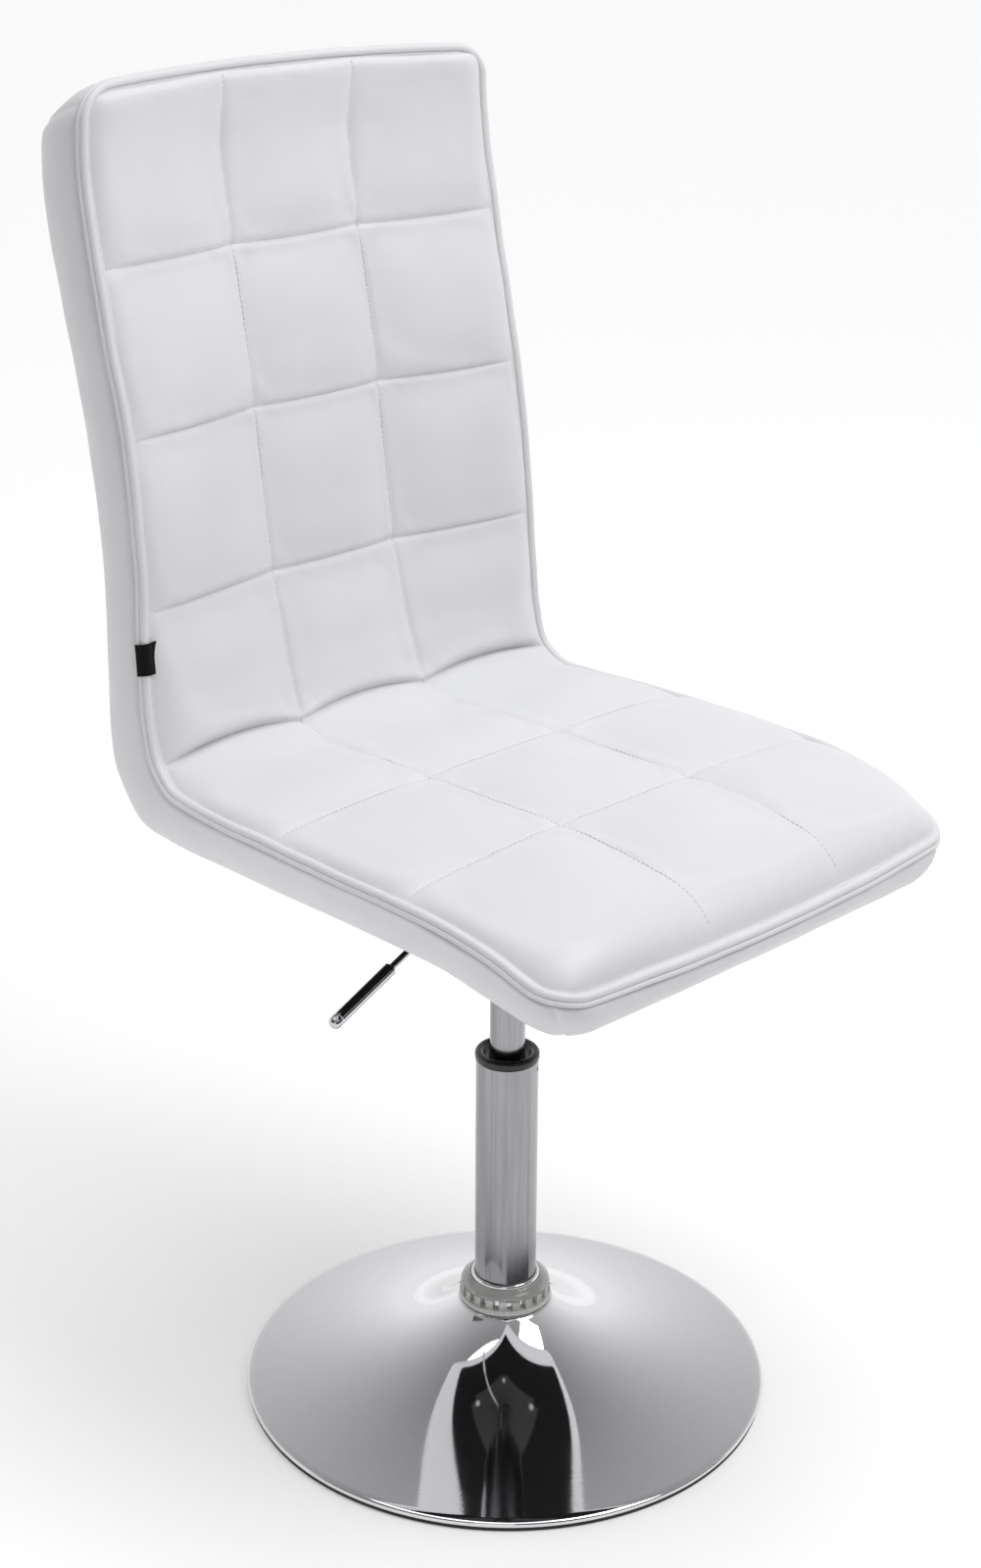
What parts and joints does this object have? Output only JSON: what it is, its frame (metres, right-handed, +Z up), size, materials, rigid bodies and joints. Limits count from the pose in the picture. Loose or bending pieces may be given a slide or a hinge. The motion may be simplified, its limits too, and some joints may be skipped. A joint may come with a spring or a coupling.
{
  "type": "swivel chair",
  "caption": "Height-adjustable swivel chair: a bent quilted back and seat in white imitation leather on a chromed gas-lift column and round trumpet base.",
  "frame": {"origin": "on the floor, on the column's axis", "axes": "+Z up; -Y is the way the sitter faces; +X is the sitter's left, so the height lever is at -X"},
  "size_m": [0.4534, 0.5551, 1.0444],
  "materials": {
    "chrome": "polished",
    "steel": "satin",
    "black_steel": "satin",
    "cast_iron": "matte",
    "rubber": "matte",
    "black_plastic": "satin",
    "clear_plastic": "gloss",
    "white_leather": "satin",
    "plywood": "matte",
    "foam": "matte",
    "black_cloth": "matte"
  },
  "bodies": {
    "base": {"base_disc": "chrome", "floor_ring": "rubber", "ballast_weight": "cast_iron", "base_socket": "steel", "stand_tube": "chrome", "tube_end_plate": "steel", "lower_race": "steel", "ball_cage": "steel", "column_ring": "clear_plastic", "foot_bead": "chrome", "guide_sleeve": "black_plastic"},
    "piston": {"piston_rod": "chrome", "piston_head": "steel", "upper_race": "steel", "rubber_buffer": "rubber", "rod_washer": "steel", "rod_clip": "steel"},
    "seat": {"pressure_tube": "chrome", "rod_guide": "steel", "mount_hub": "black_steel", "mount_plate": "black_steel", "plate_bolt_1": "steel", "plate_bolt_2": "steel", "plate_bolt_3": "steel", "plate_bolt_4": "steel", "tee_nut_1": "steel", "tee_nut_2": "steel", "tee_nut_3": "steel", "tee_nut_4": "steel", "lever_pivot_pin": "steel", "plywood_shell": "plywood", "back_foam": "foam", "seat_foam": "foam", "quilted_panel": "white_leather", "side_band_left": "white_leather", "side_band_right": "white_leather", "rear_cover": "white_leather", "piping": "white_leather", "side_tag": "black_cloth", "dust_cover": "black_cloth"},
    "lever": {"lever_rod": "chrome", "lever_grip": "chrome"},
    "release": {"release_pin": "steel"}
  },
  "joints": [
    {"name": "seat_swivel", "type": "hinge", "parent": "base", "child": "piston", "pos_m": [0, 0, 0.048], "axis": [0, 0, 1], "continuous": true},
    {"name": "seat_lift", "type": "slide", "parent": "piston", "child": "seat", "axis": [0, 0, 1], "range_m": [-0.13, 0]},
    {"name": "lever_lift", "type": "hinge", "parent": "seat", "child": "lever", "pos_m": [-0.0165, 0, 0.46155], "axis": [0, 1, 0], "range_deg": [0, 8], "stiffness_Nm_per_rad": 1, "springref_deg": -8.59},
    {"name": "pin_press", "type": "slide", "parent": "seat", "child": "release", "axis": [0, 0, 1], "range_m": [-0.0026, 0]}
  ],
  "couplings": [
    {"joint": "pin_press", "follows": "lever_lift", "m_per_rad": -0.0165}
  ]
}
